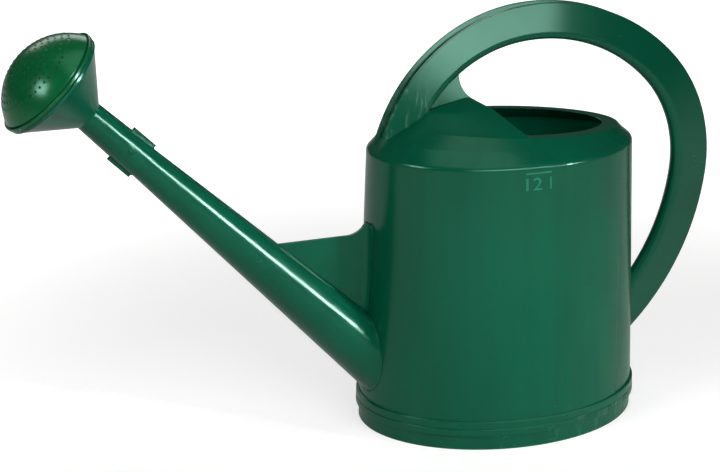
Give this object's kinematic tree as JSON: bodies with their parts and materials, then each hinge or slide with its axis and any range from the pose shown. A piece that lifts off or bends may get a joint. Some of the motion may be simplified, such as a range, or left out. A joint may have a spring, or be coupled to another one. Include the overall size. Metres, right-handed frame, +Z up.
{
  "type": "watering can",
  "caption": "Oval plastic watering can with a half-covered top, a hooped channel grip from hood to back wall, and a long straight spout with a domed pull-off rose.",
  "frame": {"origin": "centre of the oval foot, on the floor", "axes": "+Z up; -X towards the spout and rose; +X towards the back of the grip; the can is mirrored about y = 0"},
  "size_m": [0.7246, 0.229, 0.4241],
  "materials": {
    "can_green": "satin moulded polyethylene",
    "pan_green": "satin moulded polyethylene",
    "grip_green": "satin moulded polyethylene",
    "spout_green": "satin moulded polyethylene",
    "rose_green": "glossy moulded polyethylene",
    "face_green": "glossy, slightly translucent moulded polyethylene"
  },
  "bodies": {
    "can": {"tank_shell": "can_green", "bottom_pan": "pan_green", "handle_bow": "grip_green", "spout_tube": "spout_green", "spout_web": "spout_green"},
    "rose": {"rose_funnel": "rose_green"},
    "face": {"rose_face": "face_green"}
  },
  "joints": [
    {"name": "rose_pull_off", "type": "slide", "parent": "can", "child": "rose", "axis": [-0.712, 0, 0.7022], "range_m": [0, 0.07]},
    {"name": "face_pull_off", "type": "slide", "parent": "rose", "child": "face", "axis": [-0.712, 0, 0.7022], "range_m": [0, 0.02]}
  ]
}
